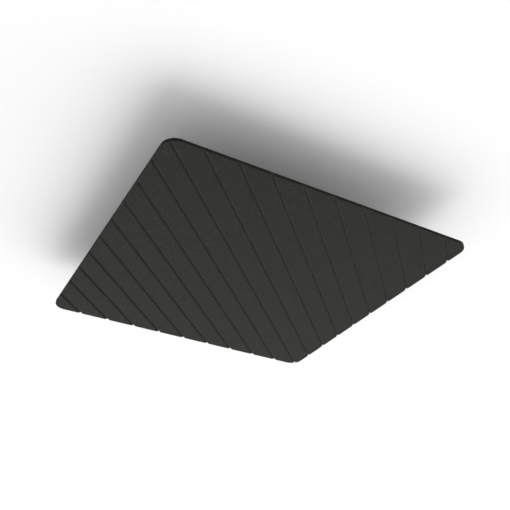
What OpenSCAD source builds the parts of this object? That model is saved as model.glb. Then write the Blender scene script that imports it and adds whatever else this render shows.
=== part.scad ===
// Square ceiling panel of pressed felt, with diagonal V grooves in the face that is seen
// from below and four steel hanger plates on the back. Millimetres. The visible face lies
// on the XY plane with its centre at the origin, and +Z points up to the ceiling.

/* [Felt sheet] */
// Length of each side of the sheet
panel_side = 1200; // [1000:10:1500]
// Thickness of the sheet
felt_t = 12; // [11:0.5:25]
// Radius of the four corners in plan
corner_r = 50; // [20:5:90]

/* [Grooves] */
// Distance from groove to groove, measured along a side of the sheet
groove_pitch = 120; // [100:5:150]
// Width of a groove at the visible face
groove_w = 12; // [6:0.5:16]
// Depth of a groove
groove_d = 7; // [3:0.5:8]
// Least felt left between the outermost groove and the tip of a rounded corner
corner_land = 15; // [10:1:40]

/* [Hanger plates] */
// Groove pitches from the centre of the sheet to a hanger, along X and along Y
hanger_pitches = 3; // [2:1:4]
// Diameter of a hanger plate
plate_d = 64; // [56:2:90]
// Thickness of a hanger plate
plate_t = 1.5; // [1.2:0.1:3]

/* [Hanger nuts] */
// Bore of a nut at the crests of its thread, 5.0 for M6
nut_bore_d = 5; // [4.2:0.1:6.8]
// Wall of a nut's body around its bore
nut_body_wall = 3; // [2:0.25:5]
// Wall of the nut's neck, which sits in the plate
nut_neck_wall = 1.8; // [1:0.1:1.9]
// Height of a nut's body above its plate
nut_h = 4.1; // [3:0.1:8]
// Chamfer at the mouth of the thread
nut_chamfer = 0.5; // [0.2:0.1:0.8]
// Gap between a nut's neck and its plate
nut_gap = 0.05; // [0.02:0.01:0.2]

/* [Plate screws] */
// Screws in each plate
screws_per_plate = 4; // [4:4:8]
// Distance from a plate's rim to the axis of a screw
screw_inset = 8; // [7:0.5:10]
// Diameter of a screw's shank
screw_d = 3.5; // [3:0.1:4.5]
// Length of a screw under its head
screw_l = 9; // [6:0.5:10]
// Length of the cone at a screw's tip
screw_tip_l = 2.5; // [1:0.5:4]
// Diameter of a screw's head
screw_head_d = 7; // [6:0.25:8.5]
// Height of the head's upright rim
screw_rim_h = 0.8; // [0.5:0.1:1.5]
// Height of the dome over the rim
screw_dome_h = 1.3; // [0.8:0.1:2]
// Width across the cross recess, from arm's end to arm's end
recess_l = 3.6; // [2.5:0.1:4.5]
// Width of each arm of the cross recess
recess_w = 0.8; // [0.5:0.1:1.2]
// Depth of the cross recess
recess_d = 1.2; // [0.8:0.1:1.8]
// Gap around a screw in its hole through the plate
plate_hole_gap = 0.35; // [0.1:0.05:0.6]
// Gap around a screw in the felt that closes on it
felt_hole_gap = 0.05; // [0.02:0.01:0.2]

/* [Hidden] */

$fn = 96;

// How far a cut runs past the surface that it opens
over_cut = 1;

// Half the diagonal of the sheet, to the tip of a rounded corner
corner_tip = (panel_side / 2 - corner_r) * sqrt(2) + corner_r;
// Distance across the grooves from one to the next: they run at 45 degrees to the sides
groove_step = groove_pitch / sqrt(2);
// Grooves on each side of the one through the centre
side_grooves = floor((corner_tip - corner_land - groove_w / 2) / groove_step);

// Centres of the hangers, on the same pitch as the grooves
hanger_reach = hanger_pitches * groove_pitch;
HANGERS = [
    [-hanger_reach, -hanger_reach], [hanger_reach, -hanger_reach],
    [hanger_reach, hanger_reach], [-hanger_reach, hanger_reach]
];

// Levels of the surfaces that the pieces seat on
back_z = felt_t;
plate_top_z = back_z + plate_t;

// Radii of a nut and of its hole in the plate
nut_bore_r = nut_bore_d / 2;
nut_neck_r = nut_bore_r + nut_neck_wall;
nut_body_r = nut_bore_r + nut_body_wall;

// Radius of the circle of screws in a plate
screw_circle_r = plate_d / 2 - screw_inset;
// Depth of a screw's hole in the felt
felt_hole_l = screw_l - plate_t + felt_hole_gap;

// Rounded square of the given side and corner radius, about the origin
module rounded_square(side, r) {
    square([side, side - 2 * r], center = true);
    square([side - 2 * r, side], center = true);
    for (x = [-1, 1], y = [-1, 1])
        translate([x, y] * (side / 2 - r))
            circle(r = r);
}

// One V groove along the diagonal, across times the groove step from the centre line
module groove_cut(across) {
    flank = groove_w / 2 / groove_d;
    rotate([0, 0, 45])
        translate([0, across * groove_step, 0])
            rotate([90, 0, 90])
                linear_extrude(panel_side * sqrt(2), center = true)
                    polygon([
                        [0, groove_d],
                        [-flank * (groove_d + over_cut), -over_cut],
                        [flank * (groove_d + over_cut), -over_cut]
                    ]);
}

// Puts a copy at each place where a screw goes through a plate
module at_plate_screws() {
    for (i = [0:screws_per_plate - 1])
        rotate([0, 0, i * 360 / screws_per_plate])
            translate([screw_circle_r, 0, 0])
                children();
}

// Shank and tip of a screw, down from inside its head
module screw_shank() {
    r = screw_d / 2;
    rotate_extrude()
        polygon([[0, screw_rim_h / 2], [r, screw_rim_h / 2], [r, screw_tip_l - screw_l], [0, -screw_l]]);
}

// Domed pan head over z = 0, with a cross recess
module screw_head() {
    r = screw_head_d / 2;
    top = screw_rim_h + screw_dome_h;
    dome_r = (r * r + screw_dome_h * screw_dome_h) / (2 * screw_dome_h);
    difference() {
        intersection() {
            cylinder(r = r, h = top + over_cut);
            translate([0, 0, top - dome_r])
                sphere(r = dome_r);
        }
        for (turn = [0, 90])
            rotate([0, 0, turn])
                translate([-recess_l / 2, -recess_w / 2, top - recess_d])
                    cube([recess_l, recess_w, recess_d + over_cut]);
    }
}

module felt_panel() {
    color("#363634")
        difference() {
            linear_extrude(felt_t)
                rounded_square(panel_side, corner_r);
            for (across = [-side_grooves:side_grooves])
                groove_cut(across);
            for (place = HANGERS)
                translate([place[0], place[1], back_z - felt_hole_l])
                    at_plate_screws()
                        cylinder(r = screw_d / 2 + felt_hole_gap, h = felt_hole_l + over_cut);
        }
}

module hanger_plate(place) {
    color("#a9adb0")
        translate([place[0], place[1], back_z])
            difference() {
                cylinder(d = plate_d, h = plate_t);
                translate([0, 0, -over_cut])
                    cylinder(r = nut_neck_r + nut_gap, h = plate_t + 2 * over_cut);
                at_plate_screws()
                    translate([0, 0, -over_cut])
                        cylinder(r = screw_d / 2 + plate_hole_gap, h = plate_t + 2 * over_cut);
            }
}

// Turned nut: a neck in the plate, a body on it and a bore right through
module hanger_nut() {
    rotate_extrude()
        polygon([
            [nut_bore_r, 0],
            [nut_neck_r, 0],
            [nut_neck_r, plate_t],
            [nut_body_r, plate_t],
            [nut_body_r, plate_t + nut_h],
            [nut_bore_r + nut_chamfer, plate_t + nut_h],
            [nut_bore_r, plate_t + nut_h - nut_chamfer]
        ]);
}

module hanger_nuts() {
    color("#c2c4c4")
        for (place = HANGERS)
            translate([place[0], place[1], back_z])
                hanger_nut();
}

module plate_screws() {
    color("#c9c7be")
        for (place = HANGERS)
            translate([place[0], place[1], plate_top_z])
                at_plate_screws()
                    union() {
                        screw_head();
                        screw_shank();
                    }
}

felt_panel();
hanger_plate(HANGERS[0]);  // hanger_plate_1
hanger_plate(HANGERS[1]);  // hanger_plate_2
hanger_plate(HANGERS[2]);  // hanger_plate_3
hanger_plate(HANGERS[3]);  // hanger_plate_4
hanger_nuts();
plate_screws();
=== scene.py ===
"""Looks of a square felt ceiling panel, seen from below under a white ceiling.

The panel is one sheet of charcoal pressed felt with V grooves along its diagonal, and it hangs
by four zinc-plated plates on its back. Everything is in metres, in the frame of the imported
model: the visible face lies on the XY plane, and +Z points up to the ceiling.
"""

import logging
import math
from dataclasses import dataclass
from enum import Enum
from typing import Any, Callable, Iterator

import bmesh
import bpy
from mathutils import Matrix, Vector

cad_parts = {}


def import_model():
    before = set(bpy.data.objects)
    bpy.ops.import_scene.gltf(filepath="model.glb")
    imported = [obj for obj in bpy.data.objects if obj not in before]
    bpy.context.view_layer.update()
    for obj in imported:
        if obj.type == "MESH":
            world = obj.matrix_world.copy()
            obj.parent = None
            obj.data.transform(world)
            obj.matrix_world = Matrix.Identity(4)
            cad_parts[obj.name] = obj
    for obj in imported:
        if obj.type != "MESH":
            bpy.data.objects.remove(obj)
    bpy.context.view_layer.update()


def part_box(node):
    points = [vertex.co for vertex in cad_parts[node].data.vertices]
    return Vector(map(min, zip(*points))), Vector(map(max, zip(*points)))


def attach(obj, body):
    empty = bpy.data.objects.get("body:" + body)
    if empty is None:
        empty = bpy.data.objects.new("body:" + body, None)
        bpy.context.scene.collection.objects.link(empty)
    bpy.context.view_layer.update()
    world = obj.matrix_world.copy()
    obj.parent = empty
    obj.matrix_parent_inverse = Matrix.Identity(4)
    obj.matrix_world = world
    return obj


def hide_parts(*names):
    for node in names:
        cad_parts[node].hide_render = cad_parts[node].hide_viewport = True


LOG = logging.getLogger("ceiling_panel")
MM = 0.001
BODY = "root"
GROOVE_HEADING = math.radians(45)
ALONG = Vector((math.cos(GROOVE_HEADING), math.sin(GROOVE_HEADING), 0.0))
ACROSS = Vector((-ALONG.y, ALONG.x, 0.0))
QUARTER_TURN = math.pi / 2
FULL_TURN = 2 * math.pi
# A point nearer to a line than this counts as on it
ON_LINE = MM / 1000
# How far a cutter runs past the surface that it opens
OVER_CUT = MM
Colour = tuple[float, float, float]
Rgba = tuple[float, float, float, float]
Point = tuple[float, float]
Span = tuple[float, float]
# Radius of a ring, by share of a turn
RingRadius = Callable[[float], float]
WHITE: Colour = (1.0, 1.0, 1.0)


class Link:
    """An output socket in a node tree that takes part in Python expressions."""

    def __init__(self, recipe: "Recipe", socket: bpy.types.NodeSocket) -> None:
        """Wraps a socket.

        Args:
            recipe: The tree that new Math nodes go into.
            socket: The node output that this link reads.
        """
        self.recipe = recipe
        self.socket = socket

    def _math(self, operation: str, *values: "Link | float") -> "Link":
        """Adds one Math node.

        Args:
            operation: The Math node's operation.
            values: Its inputs, as links or numbers.

        Returns:
            The node's result.
        """
        return self.recipe.node("ShaderNodeMath", {"operation": operation}, dict(enumerate(values)))

    def __add__(self, other: "Link | float") -> "Link":
        """Returns self + other."""
        return self._math("ADD", self, other)

    __radd__ = __add__

    def __mul__(self, other: "Link | float") -> "Link":
        """Returns self * other."""
        return self._math("MULTIPLY", self, other)

    __rmul__ = __mul__

    def __sub__(self, other: "Link | float") -> "Link":
        """Returns self - other."""
        return self._math("SUBTRACT", self, other)

    def __rsub__(self, other: "Link | float") -> "Link":
        """Returns other - self."""
        return self._math("SUBTRACT", other, self)

    def __abs__(self) -> "Link":
        """Returns the value without its sign."""
        return self._math("ABSOLUTE", self)

    def __lt__(self, other: "Link | float") -> "Link":
        """Returns 1 where self is below other, and 0 elsewhere."""
        return self._math("LESS_THAN", self, other)

    def root(self) -> "Link":
        """Returns the square root of the value."""
        return self._math("SQRT", self)

    def sine(self) -> "Link":
        """Returns the sine of the value, in radians."""
        return self._math("SINE", self)

    def at_least(self, other: "Link | float") -> "Link":
        """Returns the larger of self and other."""
        return self._math("MAXIMUM", self, other)


class Recipe:
    """Node tree of a material or of the world, filled through one node method."""

    def __init__(self, owner: bpy.types.Material | bpy.types.World) -> None:
        """Empties the owner's tree.

        Args:
            owner: The material or world that the tree belongs to.
        """
        owner.use_nodes = True
        self.owner = owner
        self.tree = owner.node_tree
        self.tree.nodes.clear()

    def node(
        self,
        kind: str,
        settings: dict[str, Any] | None = None,
        inputs: dict[str | int, Any] | None = None,
        output: str | int = 0,
    ) -> Link | None:
        """Adds a node, sets it up, then fills its sockets.

        Args:
            kind: The node's type.
            settings: The properties to set before its sockets are filled.
            inputs: Values or links by socket name or number.
            output: The output to return, by name or number.

        Returns:
            The chosen output, or None on a node that has none.
        """
        node = self.tree.nodes.new(kind)
        for name, value in (settings or {}).items():
            setattr(node, name, value)
        for name, value in (inputs or {}).items():
            if isinstance(value, Link):
                self.tree.links.new(value.socket, node.inputs[name])
            else:
                node.inputs[name].default_value = value
        return Link(self, node.outputs[output]) if node.outputs else None

    def place(self) -> Link:
        """Returns the point on the object, in metres."""
        return self.node("ShaderNodeTexCoord", output="Object")

    def stretched(self, place: Link, heading: float, scale: Vector) -> Link:
        """Turns the coordinates about Z, then scales them axis by axis.

        Args:
            place: The coordinates to start from.
            heading: Turn in degrees.
            scale: Factor on each turned axis.

        Returns:
            The new coordinates.
        """
        turn = {"Vector": place, "Angle": math.radians(heading)}
        turned = self.node("ShaderNodeVectorRotate", {"rotation_type": "Z_AXIS"}, turn)
        return self.node("ShaderNodeVectorMath", {"operation": "MULTIPLY"}, {0: turned, 1: scale})

    def noise(self, place: Link, scale: float, detail: float = 2.0) -> Link:
        """Adds fractal noise.

        Args:
            place: The coordinates that it follows.
            scale: Cells per unit of the coordinates.
            detail: Octaves of finer noise.

        Returns:
            The noise, 0.5 on average.
        """
        return self.node("ShaderNodeTexNoise", None, {"Vector": place, "Scale": scale, "Detail": detail})

    def spread(self, value: Link, low: float, high: float) -> Link:
        """Stretches the range from low to high over 0 to 1, clamped."""
        return self.node("ShaderNodeMapRange", {"clamp": True}, {0: value, 1: low, 2: high})

    def blend(self, share: Link, low: Rgba, high: Rgba) -> Link:
        """Mixes two colours.

        Args:
            share: Share of the high colour.
            low: Colour at share 0, with alpha.
            high: Colour at share 1, with alpha.

        Returns:
            The mixed colour.
        """
        return self.node("ShaderNodeMix", {"data_type": "RGBA"}, {0: share, 6: low, 7: high}, output=2)

    def bumped(self, height: Link, depth: float, strength: float = 1.0) -> Link:
        """Adds a Bump node.

        Args:
            height: Height from 0 to 1.
            depth: Real depth of a height of 1, in metres.
            strength: Share of the bump that shows.

        Returns:
            The bent normal.
        """
        return self.node("ShaderNodeBump", None, {"Height": height, "Distance": depth, "Strength": strength})

    def finish(self, surface: Link) -> None:
        """Ends a material's tree with its surface."""
        self.node("ShaderNodeOutputMaterial", None, {"Surface": surface})


def with_alpha(colour: Colour, level: float = 1.0) -> Rgba:
    """Scales a colour and gives it full alpha.

    Args:
        colour: The colour, in linear light.
        level: What its channels are multiplied by.

    Returns:
        The colour with its alpha.
    """
    red, green, blue = (channel * level for channel in colour)
    return (red, green, blue, 1.0)


@dataclass(frozen=True)
class PressedFelt:
    """Matt pressed polyester felt: a dark ground with fibres and a few pale wisps matted in it.

    A share of 0 to 1 picks the colour between its dark and its pale end. Fibres, tufts and clouds
    each give a part of that share, and the wisps are added where they lie.

    Attributes:
        colour: Mean colour of the ground, in linear light.
        pale_fibre: Level of the pale end, as a multiple of the colour.
        dark_fibre: Level of the dark end.
        fibre_headings: Heading of each layer of fibres, in degrees.
        fibre_width: Half width of a fibre, in the noise that draws it.
        bend_size: Length over which a fibre bends.
        bend_reach: How far the bends move it.
        cloud_depth: Part of the share that broad clouds take over from the tufts.
        pale_wisps: Where in the noise a pale wisp starts, and where it is full.
        dark_wisps: The same for a dark one.
        relief: Height of the fibres and tufts over the ground.
        sheen: Strength of the pale edge light that stray fibres catch.
    """

    colour: Colour = (0.0256, 0.0256, 0.0232)
    pale_fibre: float = 1.9
    dark_fibre: float = 0.5
    fibre_headings: tuple[float, ...] = (8.0, 49.0, 86.0, 124.0, 163.0)
    fibre_length: float = 8 * MM
    fibre_spacing: float = 0.75 * MM
    fibre_width: float = 0.03
    fibre_weight: float = 0.6
    bend_size: float = 14 * MM
    bend_reach: float = 9 * MM
    tuft_size: float = 3 * MM
    tuft_range: Span = (0.3, 0.7)
    tuft_weight: float = 0.4
    cloud_size: float = 45 * MM
    cloud_range: Span = (0.25, 0.75)
    cloud_depth: float = 0.10
    wisp_size: float = 13 * MM
    pale_wisps: Span = (0.63, 0.70)
    dark_wisps: Span = (0.35, 0.29)
    pale_wisp_share: float = 0.30
    dark_wisp_share: float = 0.10
    relief: float = 0.24 * MM
    roughness: float = 0.96
    diffuse_roughness: float = 1.0
    specular: float = 0.0
    sheen: float = 0.099
    sheen_roughness: float = 0.5
    sheen_tint: Colour = (1.0, 1.0, 0.93)

    def bent(self, recipe: Recipe, place: Link) -> Link:
        """Bends the coordinates a little, so that no fibre runs straight.

        Args:
            recipe: The tree to add to.
            place: The point on the object.

        Returns:
            The bent coordinates.
        """
        around = {"Vector": place, "Scale": 1 / self.bend_size, "Detail": 1.0}
        drift = recipe.node("ShaderNodeTexNoise", None, around, output="Color")
        reach = Vector((self.bend_reach,) * 3)
        moved = {0: drift, 1: reach, 2: place}
        return recipe.node("ShaderNodeVectorMath", {"operation": "MULTIPLY_ADD"}, moved)

    def fibres(self, recipe: Recipe, bent: Link) -> Link:
        """Lays a layer of thin fibres for each heading, over one another.

        Args:
            recipe: The tree to add to.
            bent: The bent coordinates.

        Returns:
            The height of the topmost fibre at the point, 0 to 1.
        """
        stretch = Vector((1 / self.fibre_length, 1 / self.fibre_spacing, 1 / self.fibre_spacing))
        top = None
        for heading in self.fibre_headings:
            strands = recipe.noise(recipe.stretched(bent, heading, stretch), 1.0, 1.0)
            fibre = recipe.spread(abs(strands - 0.5), self.fibre_width, 0.0)
            top = fibre if top is None else top.at_least(fibre)
        return top

    def wisps(self, recipe: Recipe, bent: Link, fibre: Link) -> Link:
        """Scatters small spots where paler or darker fibres lie together.

        Args:
            recipe: The tree to add to.
            bent: The bent coordinates.
            fibre: The height of the topmost fibre.

        Returns:
            What the spots add to the share of the pale colour.
        """
        spots = recipe.noise(bent, 1 / self.wisp_size)
        pale = recipe.spread(spots, *self.pale_wisps) * self.pale_wisp_share
        dark = recipe.spread(spots, *self.dark_wisps) * self.dark_wisp_share
        return (pale - dark) * (fibre + 1)

    def material(self) -> bpy.types.Material:
        """Mixes the felt's colour and relief.

        Returns:
            The felt's material.
        """
        recipe = Recipe(bpy.data.materials.new("pressed_felt"))
        place = recipe.place()
        bent = self.bent(recipe, place)
        fibre = self.fibres(recipe, bent)
        tuft = recipe.spread(recipe.noise(place, 1 / self.tuft_size), *self.tuft_range)
        cloud = recipe.spread(recipe.noise(place, 1 / self.cloud_size), *self.cloud_range)
        height = fibre * self.fibre_weight + tuft * self.tuft_weight
        share = height + (cloud - tuft) * self.cloud_depth + self.wisps(recipe, bent, fibre)
        low = with_alpha(self.colour, self.dark_fibre)
        high = with_alpha(self.colour, self.pale_fibre)
        surface = recipe.node(
            "ShaderNodeBsdfPrincipled",
            None,
            {
                "Base Color": recipe.blend(share, low, high),
                "Roughness": self.roughness,
                "Diffuse Roughness": self.diffuse_roughness,
                "Specular IOR Level": self.specular,
                "Sheen Weight": self.sheen,
                "Sheen Roughness": self.sheen_roughness,
                "Sheen Tint": with_alpha(self.sheen_tint),
                "Normal": recipe.bumped(height, self.relief),
            },
        )
        recipe.finish(surface)
        return recipe.owner


class ZincTone(Enum):
    """Colours of zinc plating, in linear light."""

    PLAIN = (0.52, 0.53, 0.55)
    BRIGHT = (0.60, 0.61, 0.62)
    YELLOWISH = (0.62, 0.58, 0.46)


class Grain(Enum):
    """Ways in which a steel piece was made, which its fine grain follows."""

    ROLLED = "rolled"
    TURNED = "turned"
    FORMED = "formed"


@dataclass(frozen=True)
class ZincPlate:
    """Zinc-plated steel with a fine grain, and with crystals or a light haze in the zinc.

    Attributes:
        hub_reach: Distance of the hangers' axes from the middle, along X and along Y.
        roughness: Roughness where the zinc is brightest.
        haze: What the zinc's pattern adds to the roughness.
        crystal_weight: Part of the pattern on rolled sheet that comes from its crystals.
        shade_range: Levels of the tone from the dull to the bright parts.
        line_length: Length of a rolling line.
        turning_pitch: Distance from ring to ring on turned steel.
        line_depth: Height of the grain.
    """

    name: str
    tone: ZincTone
    grain: Grain
    hub_reach: float = 0.0
    roughness: float = 0.25
    haze: float = 0.20
    haze_size: float = 9 * MM
    haze_detail: float = 3.0
    haze_range: Span = (0.3, 0.7)
    crystal_size: float = 4 * MM
    crystal_weight: float = 0.6
    shade_range: Span = (0.78, 1.06)
    line_length: float = 14 * MM
    line_width: float = 0.12 * MM
    turning_pitch: float = 0.16 * MM
    grit_size: float = 0.3 * MM
    line_depth: float = 0.012 * MM
    line_strength: float = 0.6
    line_roughness: float = 0.05

    def clouds(self, recipe: Recipe, place: Link) -> Link:
        """Adds the zinc's pattern: flat crystals on rolled sheet, and soft haze on smaller pieces.

        Args:
            recipe: The tree to add to.
            place: The point on the object.

        Returns:
            How pale and how rough the zinc is, 0 to 1.
        """
        soft = recipe.noise(place, 1 / self.haze_size, self.haze_detail)
        haze = recipe.spread(soft, *self.haze_range)
        if self.grain is not Grain.ROLLED:
            return haze
        cells = {"Vector": place, "Scale": 1 / self.crystal_size}
        cell = recipe.node("ShaderNodeTexVoronoi", {"feature": "F1"}, cells, output="Color")
        tone = recipe.node("ShaderNodeSeparateXYZ", None, {0: cell}, output="X")
        return tone * self.crystal_weight + haze * (1 - self.crystal_weight)

    def lines(self, recipe: Recipe, place: Link) -> Link:
        """Adds the grain: straight rolling lines, rings about each hanger's axis, or fine grit.

        Args:
            recipe: The tree to add to.
            place: The point on the object.

        Returns:
            The height of the grain, 0 to 1.
        """
        if self.grain is Grain.FORMED:
            return recipe.noise(place, 1 / self.grit_size)
        if self.grain is Grain.ROLLED:
            stretch = Vector((1 / self.line_length, 1 / self.line_width, 1 / self.line_width))
            return recipe.noise(recipe.stretched(place, 0.0, stretch), 1.0)
        axes = [recipe.node("ShaderNodeSeparateXYZ", None, {0: place}, output=name) for name in "XY"]
        across = [abs(axis) - self.hub_reach for axis in axes]
        radius = (across[0] * across[0] + across[1] * across[1]).root()
        return (radius * (FULL_TURN / self.turning_pitch)).sine() * 0.5 + 0.5

    def material(self) -> bpy.types.Material:
        """Mixes the zinc's pattern and grain.

        Returns:
            The plated steel's material.
        """
        recipe = Recipe(bpy.data.materials.new(self.name))
        place = recipe.place()
        clouds = self.clouds(recipe, place)
        lines = self.lines(recipe, place)
        dull, bright = (with_alpha(self.tone.value, shade) for shade in self.shade_range)
        surface = recipe.node(
            "ShaderNodeBsdfPrincipled",
            None,
            {
                "Base Color": recipe.blend(clouds, dull, bright),
                "Metallic": 1.0,
                "Roughness": clouds * self.haze + lines * self.line_roughness + self.roughness,
                "Normal": recipe.bumped(lines, self.line_depth, self.line_strength),
            },
        )
        recipe.finish(surface)
        return recipe.owner


def mesh_object(name: str, work: bmesh.types.BMesh) -> bpy.types.Object:
    """Turns a finished bmesh into an object in the scene, smooth-shaded.

    Args:
        name: Name of the object and its mesh.
        work: The mesh, which is freed.

    Returns:
        The new object.
    """
    bmesh.ops.recalc_face_normals(work, faces=work.faces)
    mesh = bpy.data.meshes.new(name)
    work.to_mesh(mesh)
    work.free()
    mesh.shade_smooth()
    piece = bpy.data.objects.new(name, mesh)
    bpy.context.scene.collection.objects.link(piece)
    return piece


def carve(piece: bpy.types.Object, cutter: bpy.types.Object) -> None:
    """Cuts one closed mesh out of another and removes the cutter.

    Args:
        piece: What is cut.
        cutter: What is taken away from it.
    """
    cut = piece.modifiers.new("cut", "BOOLEAN")
    cut.operation = "DIFFERENCE"
    cut.solver = "EXACT"
    cut.object = cutter
    bpy.context.view_layer.update()
    graph = bpy.context.evaluated_depsgraph_get()
    old = piece.data
    piece.data = bpy.data.meshes.new_from_object(piece.evaluated_get(graph))
    piece.modifiers.clear()
    bpy.data.meshes.remove(old)
    bpy.data.objects.remove(cutter)


def keep_flats_flat(piece: bpy.types.Object) -> None:
    """Weights the normals by area, so that flats stay flat beside soft edges."""
    piece.modifiers.new("flats", "WEIGHTED_NORMAL").keep_sharp = False


def arc(centre: Point, radius: float, start: float, sweep: float, steps: int) -> list[Point]:
    """Lists points along an arc, both ends included.

    Args:
        centre: The arc's centre.
        radius: Its radius.
        start: Angle of the first point, in radians.
        sweep: Angle turned through, in radians.
        steps: Number of chords.

    Returns:
        The points.
    """
    angles = [start + sweep * i / steps for i in range(steps + 1)]
    return [(centre[0] + radius * math.cos(a), centre[1] + radius * math.sin(a)) for a in angles]


def lathe(rings: list[tuple[RingRadius, float]], steps: int, looped: bool) -> bmesh.types.BMesh:
    """Turns a profile about Z into a closed skin.

    Args:
        rings: The profile, as each ring's radius by share of a turn, and its height.
        steps: Points round each ring.
        looped: True where the last ring joins the first, False where both ends close on the axis.

    Returns:
        The mesh.
    """
    work = bmesh.new()
    turns = [i / steps for i in range(steps)]
    rows = []
    for radius, height in rings:
        spots = [(radius(t) * math.cos(FULL_TURN * t), radius(t) * math.sin(FULL_TURN * t)) for t in turns]
        rows.append([work.verts.new((x, y, height)) for x, y in spots])
    pairs = list(zip(rows, rows[1:]))
    if looped:
        pairs.append((rows[-1], rows[0]))
    for lower, upper in pairs:
        for i in range(steps):
            j = (i + 1) % steps
            work.faces.new((lower[i], lower[j], upper[j], upper[i]))
    if not looped:
        work.faces.new(rows[0])
        work.faces.new(rows[-1])
    return work


def plain(profile: list[Point]) -> list[tuple[RingRadius, float]]:
    """Makes rings of steady radius from a list of radius and height."""
    return [(lambda turn, radius=radius: radius, height) for radius, height in profile]


def copies(work: bmesh.types.BMesh, places: list[Vector]) -> bmesh.types.BMesh:
    """Sets a copy of a mesh down at each place.

    Args:
        work: The mesh to copy, which is freed.
        places: Where its origin goes.

    Returns:
        One mesh with all the copies.
    """
    single = bpy.data.meshes.new("single")
    work.to_mesh(single)
    work.free()
    joined = bmesh.new()
    for place in places:
        before = len(joined.verts)
        joined.from_mesh(single)
        joined.verts.ensure_lookup_table()
        bmesh.ops.translate(joined, vec=place, verts=joined.verts[before:])
    bpy.data.meshes.remove(single)
    return joined


def tooth(turn: float, flat: float = 0.125) -> float:
    """Section of a thread over one pitch.

    Args:
        turn: Place along the pitch, in pitches.
        flat: Share of the pitch that the crest flat takes, and the root flat too.

    Returns:
        0 on the crest flat and 1 on the root flat.
    """
    from_root = abs(turn % 1.0 - 0.5) * 2
    return min(1.0, max(0.0, (1 - flat - from_root) / (1 - 2 * flat)))


@dataclass(frozen=True)
class HangerLayout:
    """Where the four hangers stand on the back of the felt, and the screws round each.

    Attributes:
        reach: Distance of each hanger's axis from the middle, along X and along Y.
        back: Height of the felt's back.
        plate_top: Height of the plates' upper face.
        screws: Number of screws in a plate.
        screw_circle: Radius of the circle that they stand on.
    """

    reach: float
    back: float
    plate_top: float
    screws: int = 4
    screw_circle: float = 24 * MM

    def hubs(self, height: float) -> list[Vector]:
        """Returns the centres of the hangers, at a height."""
        r = self.reach
        return [Vector((x, y, height)) for x, y in ((-r, -r), (r, -r), (r, r), (-r, r))]

    def screws_round(self, hub: Vector) -> list[Vector]:
        """Returns the places of one hanger's screws, at the height of its hub."""
        turns = [i * FULL_TURN / self.screws for i in range(self.screws)]
        return [hub + Vector((math.cos(a), math.sin(a), 0.0)) * self.screw_circle for a in turns]

    def all_screws(self, height: float) -> list[Vector]:
        """Returns the places of every screw, hanger by hanger, at a height."""
        return [place for hub in self.hubs(height) for place in self.screws_round(hub)]


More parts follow.
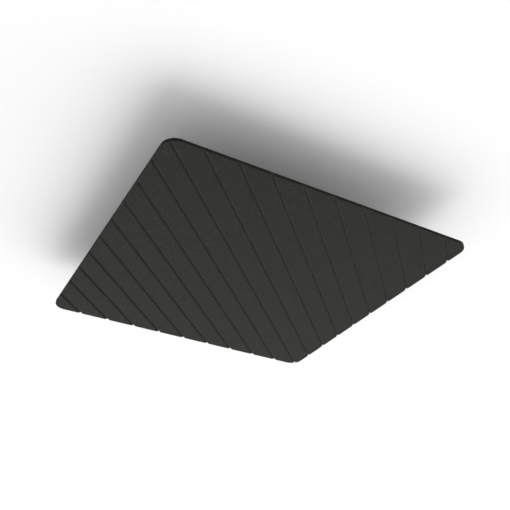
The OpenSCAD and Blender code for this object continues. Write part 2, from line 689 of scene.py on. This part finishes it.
@dataclass
class FeltPanel:
    """The felt sheet, with V grooves, soft edges and blind holes for the plate screws.

    Attributes:
        groove_pitch: Distance from groove to groove, measured along a side.
        corner_land: Least felt between the outermost groove and the tip of a rounded corner.
        edge_softness: How far from a sharp edge its rounding starts.
        corner_room: Least distance from a groove's edge to a corner point, in edge softnesses.
        sharp_angle: Angle between two faces above which their edge is rounded, in degrees.
        screw_radius: Radius of the blind holes for the screws.
    """

    side: float
    thickness: float
    layout: HangerLayout
    corner_radius: float = 50 * MM
    corner_steps: int = 24
    groove_pitch: float = 120 * MM
    groove_width: float = 12 * MM
    groove_depth: float = 7 * MM
    corner_land: float = 15 * MM
    edge_softness: float = 0.6 * MM
    edge_steps: int = 3
    corner_room: float = 2.4
    sharp_angle: float = 25.0
    screw_radius: float = 1.8 * MM
    screw_depth: float = 7.55 * MM
    screw_steps: int = 24

    def groove_lines(self) -> list[float]:
        """Spaces the grooves over the sheet.

        Returns:
            The distance of each groove's floor from the diagonal.
        """
        step = self.groove_pitch / math.sqrt(2)
        tip = (self.side / 2 - self.corner_radius) * math.sqrt(2) + self.corner_radius
        count = math.floor((tip - self.corner_land - self.groove_width / 2) / step)
        return [k * step for k in range(-count, count + 1)]

    def outline(self) -> Iterator[Vector]:
        """Goes round the sheet, corner by corner.

        Yields:
            The points of its outline.
        """
        reach = self.side / 2 - self.corner_radius
        for quarter, (x, y) in enumerate(((1, 1), (-1, 1), (-1, -1), (1, -1))):
            start = quarter * QUARTER_TURN
            centre = (x * reach, y * reach)
            for spot in arc(centre, self.corner_radius, start, QUARTER_TURN, self.corner_steps):
                yield Vector((*spot, 0.0))

    def rise(self, place: Vector) -> float:
        """Finds how far the face is cut back at a point.

        Args:
            place: The point on the face.

        Returns:
            The height of the felt there, 0 outside the grooves.
        """
        half = self.groove_width / 2
        off = min(abs(place.dot(ACROSS) - line) for line in self.groove_lines())
        return self.groove_depth * max(0.0, 1 - off / half)

    def clear_lines(self, work: bmesh.types.BMesh) -> None:
        """Drops corner points that lie too near a groove's edge for a soft edge to fit.

        Args:
            work: The flat face, already cut along the grooves.
        """
        half = self.groove_width / 2
        room = self.corner_room * self.edge_softness
        crowded = []
        for vert in work.verts:
            off = [vert.co.dot(ACROSS) - line for line in self.groove_lines()]
            gaps = [abs(across - edge) for across in off for edge in (-half, 0.0, half)]
            if len(vert.link_edges) == 2 and ON_LINE < min(gaps) < room:
                crowded.append(vert)
        bmesh.ops.dissolve_verts(work, verts=crowded)

    def build(self) -> bpy.types.Object:
        """Builds the sheet: the grooved face first, then its back, soft edges and screw holes.

        Returns:
            The felt sheet as an object.
        """
        work = bmesh.new()
        work.faces.new([work.verts.new(spot) for spot in self.outline()])
        for line in self.groove_lines():
            for off in (-self.groove_width / 2, 0.0, self.groove_width / 2):
                everything = work.verts[:] + work.edges[:] + work.faces[:]
                point = ACROSS * (line + off)
                bmesh.ops.bisect_plane(work, geom=everything, dist=ON_LINE, plane_co=point, plane_no=ACROSS)
        self.clear_lines(work)
        for vert in work.verts:
            vert.co.z = self.rise(vert.co)
        rim = [edge for edge in work.edges if edge.is_boundary]
        walls = bmesh.ops.extrude_edge_only(work, edges=rim)["geom"]
        for vert in (part for part in walls if isinstance(part, bmesh.types.BMVert)):
            vert.co.z = self.thickness
        bmesh.ops.holes_fill(work, edges=[edge for edge in work.edges if edge.is_boundary])
        bmesh.ops.recalc_face_normals(work, faces=work.faces)
        self.soften(work)
        piece = mesh_object("felt_sheet", work)
        carve(piece, self.screw_holes())
        keep_flats_flat(piece)
        return piece

    def soften(self, work: bmesh.types.BMesh) -> None:
        """Rounds every edge that is sharper than a facet of the rounded corners.

        Args:
            work: The closed sheet.
        """
        least = math.radians(self.sharp_angle)
        sharp = [edge for edge in work.edges if edge.calc_face_angle(0.0) > least]
        bmesh.ops.bevel(
            work,
            geom=sharp,
            offset=self.edge_softness,
            offset_type="OFFSET",
            segments=self.edge_steps,
            profile=0.5,
            affect="EDGES",
            clamp_overlap=True,
        )

    def screw_holes(self) -> bpy.types.Object:
        """Builds the cutter for the blind holes under the plates.

        Returns:
            All the holes as one object.
        """
        wall = plain([(self.screw_radius, -self.screw_depth), (self.screw_radius, OVER_CUT)])
        hole = lathe(wall, self.screw_steps, False)
        return mesh_object("screw_holes", copies(hole, self.layout.all_screws(self.thickness)))

    def dress(self, piece: bpy.types.Object, felt: PressedFelt) -> None:
        """Gives the sheet its felt, hides the imported felt panel and hangs the sheet on the body.

        Args:
            piece: The felt sheet.
            felt: Its finish.
        """
        piece.data.materials.append(felt.material())
        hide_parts("felt_panel")
        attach(piece, BODY)


@dataclass
class HangerPlate:
    """A round steel plate with a hole for its nut and holes for its screws.

    Attributes:
        nut_hole: Radius of the hole for the nut's neck.
        screw_hole: Radius of each hole for a screw.
        edge_softness: Radius of the rounded edges.
        steps: Points round the plate.
        hole_steps: Points round a screw hole.
    """

    layout: HangerLayout
    radius: float = 32 * MM
    nut_hole: float = 4.35 * MM
    screw_hole: float = 2.1 * MM
    edge_softness: float = 0.3 * MM
    edge_steps: int = 4
    steps: int = 128
    hole_steps: int = 48

    def section(self, thickness: float) -> list[Point]:
        """Draws the plate's section, from its rim round to its nut hole and back.

        Args:
            thickness: The plate's thickness.

        Returns:
            The section as a loop of radius and height.
        """
        soft = self.edge_softness
        loop: list[Point] = []
        inner, outer = self.nut_hole + soft, self.radius - soft
        low, high = soft, thickness - soft
        for quarter, centre in enumerate(((outer, high), (inner, high), (inner, low), (outer, low))):
            loop += arc(centre, soft, quarter * QUARTER_TURN, QUARTER_TURN, self.edge_steps)
        return loop

    def screw_cutter(self, thickness: float) -> bmesh.types.BMesh:
        """Builds the cutter for one screw hole, flared at both faces.

        Args:
            thickness: The plate's thickness.

        Returns:
            The cutter, with its origin in the hole's lower mouth.
        """
        soft = self.edge_softness
        wide = self.screw_hole + soft
        profile = [(wide, -OVER_CUT), (wide, 0.0), (self.screw_hole, soft)]
        profile += [(self.screw_hole, thickness - soft), (wide, thickness), (wide, thickness + OVER_CUT)]
        return lathe(plain(profile), self.hole_steps, False)

    def build(self, number: int, hub: Vector) -> bpy.types.Object:
        """Builds one plate.

        Args:
            number: The plate's number, from 1.
            hub: Centre of its seat on the felt.

        Returns:
            The plate as an object.
        """
        thickness = self.layout.plate_top - self.layout.back
        disc = copies(lathe(plain(self.section(thickness)), self.steps, True), [hub])
        piece = mesh_object(f"plate_{number}", disc)
        holes = copies(self.screw_cutter(thickness), self.layout.screws_round(hub))
        carve(piece, mesh_object("plate_holes", holes))
        keep_flats_flat(piece)
        return piece

    def dress(self, piece: bpy.types.Object, number: int, steel: bpy.types.Material) -> None:
        """Gives a plate its steel, hides the imported plate and hangs the new one on the body.

        Args:
            piece: The plate.
            number: The plate's number, from 1.
            steel: Its material.
        """
        piece.data.materials.append(steel)
        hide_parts(f"hanger_plate_{number}")
        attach(piece, BODY)


@dataclass
class HangerNuts:
    """Four turned nuts, each with a neck in its plate and a thread through it.

    Attributes:
        height: Height from a nut's foot to its mouth.
        crest_radius: Radius of the bore at the crests of the thread.
        mouth_chamfer: Width of the chamfer at the mouth of the thread.
        steps: Points round a ring.
        rows_per_pitch: Rings that each turn of the thread takes.
    """

    layout: HangerLayout
    height: float
    crest_radius: float = 2.5 * MM
    thread_pitch: float = 1.0 * MM
    thread_depth: float = 0.54 * MM
    neck_radius: float = 4.3 * MM
    body_radius: float = 5.5 * MM
    mouth_chamfer: float = 0.5 * MM
    edge_softness: float = 0.25 * MM
    edge_steps: int = 3
    steps: int = 64
    rows_per_pitch: int = 8

    def bore(self, height: float) -> RingRadius:
        """Draws the threaded bore at one height.

        Args:
            height: Height over the nut's foot.

        Returns:
            The bore's radius there, by share of a turn.
        """
        mouth = self.crest_radius + self.mouth_chamfer - (self.height - height)
        foot = self.crest_radius + self.edge_softness - height
        plain_wall = max(mouth, foot)

        def radius(turn: float) -> float:
            """Returns the bore's radius at a share of a turn."""
            depth = self.thread_depth * tooth(height / self.thread_pitch - turn)
            return max(plain_wall, self.crest_radius + depth)

        return radius

    def section(self) -> list[Point]:
        """Draws the nut's outside, from its foot up to its mouth.

        Returns:
            The outside as radius and height.
        """
        shoulder = self.layout.plate_top - self.layout.back
        soft, steps = self.edge_softness, self.edge_steps
        rim = self.body_radius - soft
        outside = [(self.neck_radius, 0.0), (self.neck_radius, shoulder)]
        outside += arc((rim, shoulder + soft), soft, -QUARTER_TURN, QUARTER_TURN, steps)
        outside += arc((rim, self.height - soft), soft, 0.0, QUARTER_TURN, steps)
        return outside

    def build(self) -> bpy.types.Object:
        """Builds the nuts.

        Returns:
            All four nuts as one object.
        """
        rows = round(self.height / self.thread_pitch * self.rows_per_pitch)
        heights = [self.height * (1 - i / rows) for i in range(rows + 1)]
        rings = plain(self.section()) + [(self.bore(h), h) for h in heights]
        work = copies(lathe(rings, self.steps, True), self.layout.hubs(self.layout.back))
        piece = mesh_object("nuts", work)
        keep_flats_flat(piece)
        return piece

    def dress(self, piece: bpy.types.Object, steel: bpy.types.Material) -> None:
        """Gives the nuts their steel, hides the imported nuts and hangs the new ones on the body.

        Args:
            piece: The nuts.
            steel: Their material.
        """
        piece.data.materials.append(steel)
        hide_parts("hanger_nuts")
        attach(piece, BODY)


@dataclass
class PlateScrews:
    """Sixteen pan-head screws with a cross recess and a coarse thread.

    Attributes:
        core_radius: Radius of the shank between the turns of the thread.
        tip: Length over which the shank narrows to a point.
        rim_height: Height of the head's upright rim.
        dome_height: Height of the dome over the rim.
        ridge_power: Power that thins the thread's ridge towards its crest.
        recess_taper: Size of the recess at its floor, as a share of its size at the top.
        point_radius: Radius of the smallest ring, at the tip and on the crown.
    """

    layout: HangerLayout
    shank_radius: float = 1.75 * MM
    core_radius: float = 1.2 * MM
    length: float = 9 * MM
    tip: float = 2.5 * MM
    head_radius: float = 3.5 * MM
    rim_height: float = 0.8 * MM
    dome_height: float = 1.3 * MM
    edge_softness: float = 0.25 * MM
    thread_pitch: float = 1.6 * MM
    ridge_power: int = 3
    recess_length: float = 3.6 * MM
    recess_width: float = 0.8 * MM
    recess_depth: float = 1.2 * MM
    recess_taper: float = 0.6
    point_radius: float = 0.01 * MM
    dome_steps: int = 8
    edge_steps: int = 2
    steps: int = 32
    rows_per_pitch: int = 8

    def head(self) -> list[Point]:
        """Draws the head, from the middle of its dome down to its seat.

        Returns:
            The head as radius and height.
        """
        rise, radius = self.dome_height, self.head_radius
        dome = (radius**2 + rise**2) / (2 * rise)
        top = self.rim_height + rise
        lean = math.asin(radius / dome)
        crown = arc((0.0, top - dome), dome, QUARTER_TURN, -lean, self.dome_steps)
        soft = self.edge_softness
        foot = arc((radius - soft, soft), soft, 0.0, -QUARTER_TURN, self.edge_steps)
        return [(self.point_radius, top)] + crown[1:] + foot

    def shank(self, drop: float) -> RingRadius:
        """Draws the threaded shank at one depth.

        Args:
            drop: Depth below the head.

        Returns:
            The shank's radius there, by share of a turn.
        """
        narrow = min(1.0, (self.length - drop) / self.tip)
        ridge = self.shank_radius - self.core_radius

        def radius(turn: float) -> float:
            """Returns the shank's radius at a share of a turn."""
            crest = 1 - tooth(drop / self.thread_pitch + turn)
            return max(self.point_radius, narrow * (self.core_radius + ridge * crest**self.ridge_power))

        return radius

    def cross(self) -> list[Point]:
        """Draws the cross recess at the top of the head, arm by arm.

        Returns:
            Its outline.
        """
        reach, half = self.recess_length / 2, self.recess_width / 2
        arm = [(reach, -half), (reach, half), (half, half)]
        outline: list[Point] = []
        for _ in range(4):
            outline += arm
            arm = [(-y, x) for x, y in arm]
        return outline

    def recess(self) -> bmesh.types.BMesh:
        """Builds the cutter for the cross recess, narrower at its floor.

        Returns:
            The cutter.
        """
        work = bmesh.new()
        top = self.rim_height + self.dome_height
        growth = 1 + (1 - self.recess_taper) * OVER_CUT / self.recess_depth
        rows = []
        for height, share in ((top - self.recess_depth, self.recess_taper), (top + OVER_CUT, growth)):
            rows.append([work.verts.new((x * share, y * share, height)) for x, y in self.cross()])
        work.faces.new(rows[0])
        work.faces.new(rows[1])
        for i in range(len(rows[0])):
            work.faces.new((rows[0][i], rows[0][i - 1], rows[1][i - 1], rows[1][i]))
        return work

    def build(self) -> bpy.types.Object:
        """Builds the screws.

        Returns:
            All sixteen screws as one object.
        """
        rows = round(self.length / self.thread_pitch * self.rows_per_pitch)
        drops = [self.length * i / rows for i in range(rows + 1)]
        rings = plain(self.head()) + [(self.shank(d), -d) for d in drops]
        single = mesh_object("screw", lathe(rings, self.steps, False))
        carve(single, mesh_object("recess", self.recess()))
        work = bmesh.new()
        work.from_mesh(single.data)
        bpy.data.objects.remove(single)
        places = self.layout.all_screws(self.layout.plate_top)
        piece = mesh_object("screws", copies(work, places))
        keep_flats_flat(piece)
        return piece

    def dress(self, piece: bpy.types.Object, steel: bpy.types.Material) -> None:
        """Gives the screws their steel, hides the imported screws and hangs the new ones on the body.

        Args:
            piece: The screws.
            steel: Their material.
        """
        piece.data.materials.append(steel)
        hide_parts("plate_screws")
        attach(piece, BODY)


@dataclass(frozen=True)
class Paint:
    """Matt white paint of the room, seen from one side only, with a glow that only the camera sees."""

    name: str
    glow: float
    colour: Colour = (0.9, 0.9, 0.9)

    def material(self) -> bpy.types.Material:
        """Mixes the paint, which is clear where it is seen from behind.

        Returns:
            The paint's material.
        """
        recipe = Recipe(bpy.data.materials.new(self.name))
        matt = recipe.node("ShaderNodeBsdfDiffuse", None, {"Color": with_alpha(self.colour)})
        seen = recipe.node("ShaderNodeLightPath", output="Is Camera Ray")
        glow = recipe.node("ShaderNodeEmission", None, {"Strength": seen * self.glow})
        front = recipe.node("ShaderNodeAddShader", None, {0: matt, 1: glow})
        clear = recipe.node("ShaderNodeBsdfTransparent")
        behind = recipe.node("ShaderNodeNewGeometry", output="Backfacing")
        recipe.finish(recipe.node("ShaderNodeMixShader", None, {0: behind, 1: front, 2: clear}))
        return recipe.owner


@dataclass(frozen=True)
class SoftSun:
    """A distant soft lamp.

    Attributes:
        heading: Where it stands, from +X towards +Y, in degrees.
        height: How high it stands over the horizon, in degrees.
        strength: Its light on a face square to it, in watts a square metre.
        spread: How wide it looks, in degrees.
        in_gloss: True where it shows in shiny surfaces.
    """

    name: str
    heading: float
    height: float
    strength: float
    spread: float
    in_gloss: bool = True

    def build(self) -> bpy.types.Object:
        """Builds the lamp, aimed at the origin.

        Returns:
            The lamp.
        """
        heading, height = math.radians(self.heading), math.radians(self.height)
        flat = math.cos(height)
        source = Vector((flat * math.cos(heading), flat * math.sin(heading), math.sin(height)))
        data = bpy.data.lights.new(self.name, "SUN")
        data.energy = self.strength
        data.angle = math.radians(self.spread)
        lamp = bpy.data.objects.new(self.name, data)
        lamp.visible_glossy = self.in_gloss
        lamp.rotation_mode = "QUATERNION"
        lamp.rotation_quaternion = (-source).to_track_quat("-Z", "Y")
        bpy.context.scene.collection.objects.link(lamp)
        return lamp


@dataclass
class Studio:
    """The white room: a ceiling over the panel, a floor far below it, lamps and sky.

    Attributes:
        panel_back: Height of the felt's back.
        ceiling_gap: Distance from there up to the ceiling.
        floor_drop: Distance from the panel's visible face down to the floor.
        half_width: Half the width of the ceiling and of the floor.
        ceiling_glow: Light that the ceiling's paint sends to the camera alone.
        floor_glow: The same for the floor.
        sky_below: Light from under the horizon, where 1 is white.
        overhead_fall: How much darker than white the seen sky is straight overhead.
    """

    panel_back: float
    ceiling_gap: float = 180 * MM
    floor_drop: float = 3.0
    half_width: float = 60.0
    ceiling_glow: float = 0.0
    floor_glow: float = 0.14
    sky_below: float = 0.613
    overhead_fall: float = 0.7
    lamps: tuple[SoftSun, ...] = (
        SoftSun("main_lamp", 42.2, -49.3, 1.63, 60.0),
        SoftSun("left_lamp", 120.0, -15.0, 0.54, 60.0),
        SoftSun("right_lamp", -15.0, -15.0, 0.46, 45.0),
        SoftSun("low_lamp", 13.0, -4.0, 1.48, 40.0),
        SoftSun("back_lamp", 50.0, 62.0, 3.3, 110.0, in_gloss=False),
    )

    def plane(self, name: str, height: float, faces_up: bool, glow: float) -> bpy.types.Object:
        """Builds a big plane that only the camera sees.

        Args:
            name: Name of the plane and its paint.
            height: Its height.
            faces_up: True where its painted side looks up.
            glow: Light that its paint sends to the camera alone.

        Returns:
            The plane.
        """
        half = self.half_width
        work = bmesh.new()
        corners = [(-half, -half), (half, -half), (half, half), (-half, half)]
        face = work.faces.new([work.verts.new((x, y, height)) for x, y in corners])
        if not faces_up:
            face.normal_flip()
        mesh = bpy.data.meshes.new(name)
        work.to_mesh(mesh)
        work.free()
        mesh.materials.append(Paint(name, glow).material())
        plane = bpy.data.objects.new(name, mesh)
        bpy.context.scene.collection.objects.link(plane)
        plane.visible_diffuse = False
        plane.visible_glossy = False
        plane.visible_transmission = False
        plane.visible_shadow = False
        return plane

    def sky(self) -> None:
        """Lights the room evenly from below, and shows the camera and gloss white, greyer overhead."""
        world = bpy.data.worlds.new("sky")
        bpy.context.scene.world = world
        recipe = Recipe(world)
        direction = recipe.node("ShaderNodeTexCoord", output="Generated")
        height = recipe.node("ShaderNodeSeparateXYZ", None, {0: direction}, output="Z")
        rays = ("Is Camera Ray", "Is Glossy Ray", "Is Transmission Ray")
        camera, glossy, clear = (recipe.node("ShaderNodeLightPath", output=ray) for ray in rays)
        seen = camera.at_least(glossy).at_least(clear)
        white = 1 - height.at_least(0.0) * self.overhead_fall
        strength = seen * white + (1 - seen) * (height < 0.0) * self.sky_below
        white_light = {"Color": with_alpha(WHITE), "Strength": strength}
        light = recipe.node("ShaderNodeBackground", None, white_light)
        recipe.node("ShaderNodeOutputWorld", None, {"Surface": light})

    def build(self) -> None:
        """Builds the room and its light."""
        self.plane("ceiling", self.panel_back + self.ceiling_gap, False, self.ceiling_glow)
        self.plane("floor", -self.floor_drop, True, self.floor_glow)
        for lamp in self.lamps:
            lamp.build()
        self.sky()


@dataclass(frozen=True)
class Camera:
    """The camera that stands under the near corner and looks up.

    Attributes:
        heading: Where it looks, from +X towards +Y, in degrees.
        tilt: How far above the horizon it looks, in degrees.
        lens: Focal length, in millimetres.
        sensor: Width of the sensor, in millimetres.
    """

    place: tuple[float, float, float] = (-1.1435, -2.0951, -1.4285)
    heading: float = 60.613
    tilt: float = 32.8225
    lens: float = 50.0
    sensor: float = 36.0

    def build(self) -> None:
        """Sets the scene's camera."""
        heading, tilt = math.radians(self.heading), math.radians(self.tilt)
        flat = math.cos(tilt)
        forward = Vector((flat * math.cos(heading), flat * math.sin(heading), math.sin(tilt)))
        data = bpy.data.cameras.new("camera")
        data.lens = self.lens
        data.sensor_width = self.sensor
        camera = bpy.data.objects.new("camera", data)
        camera.location = self.place
        camera.rotation_mode = "QUATERNION"
        camera.rotation_quaternion = forward.to_track_quat("-Z", "Y")
        bpy.context.scene.collection.objects.link(camera)
        bpy.context.scene.camera = camera


def report(piece: bpy.types.Object) -> None:
    """Logs a piece's name, size and face count."""
    size = " x ".join(f"{length / MM:.1f}" for length in piece.dimensions)
    LOG.info("%s: %s mm, %d faces", piece.name, size, len(piece.data.polygons))


def dress_hangers(layout: HangerLayout, height: float) -> None:
    """Builds and dresses the plates, nuts and screws.

    Args:
        layout: Where the hangers stand.
        height: Height of a nut from its foot to its mouth.
    """
    plate = HangerPlate(layout)
    sheet_steel = ZincPlate("plate_zinc", ZincTone.PLAIN, Grain.ROLLED).material()
    for number, hub in enumerate(layout.hubs(layout.back), start=1):
        piece = plate.build(number, hub)
        plate.dress(piece, number, sheet_steel)
        report(piece)
    nuts = HangerNuts(layout, height)
    piece = nuts.build()
    nuts.dress(piece, ZincPlate("nut_zinc", ZincTone.BRIGHT, Grain.TURNED, layout.reach).material())
    report(piece)
    screws = PlateScrews(layout)
    piece = screws.build()
    screws.dress(piece, ZincPlate("screw_zinc", ZincTone.YELLOWISH, Grain.FORMED).material())
    report(piece)


def main() -> None:
    """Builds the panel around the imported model, then the room, the lamps and the camera."""
    logging.basicConfig(level=logging.INFO, format="%(name)s: %(message)s")
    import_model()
    felt_low, felt_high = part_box("felt_panel")
    # The third plate is the one towards +X and +Y
    plate_low, plate_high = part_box("hanger_plate_3")
    layout = HangerLayout((plate_low.x + plate_high.x) / 2, felt_high.z, plate_high.z)
    panel = FeltPanel(felt_high.x - felt_low.x, felt_high.z - felt_low.z, layout)
    sheet = panel.build()
    panel.dress(sheet, PressedFelt())
    report(sheet)
    dress_hangers(layout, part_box("hanger_nuts")[1].z - layout.back)
    Studio(layout.back).build()
    Camera().build()
    bpy.context.scene.view_settings.view_transform = "Standard"


if __name__ == "__main__":
    main()
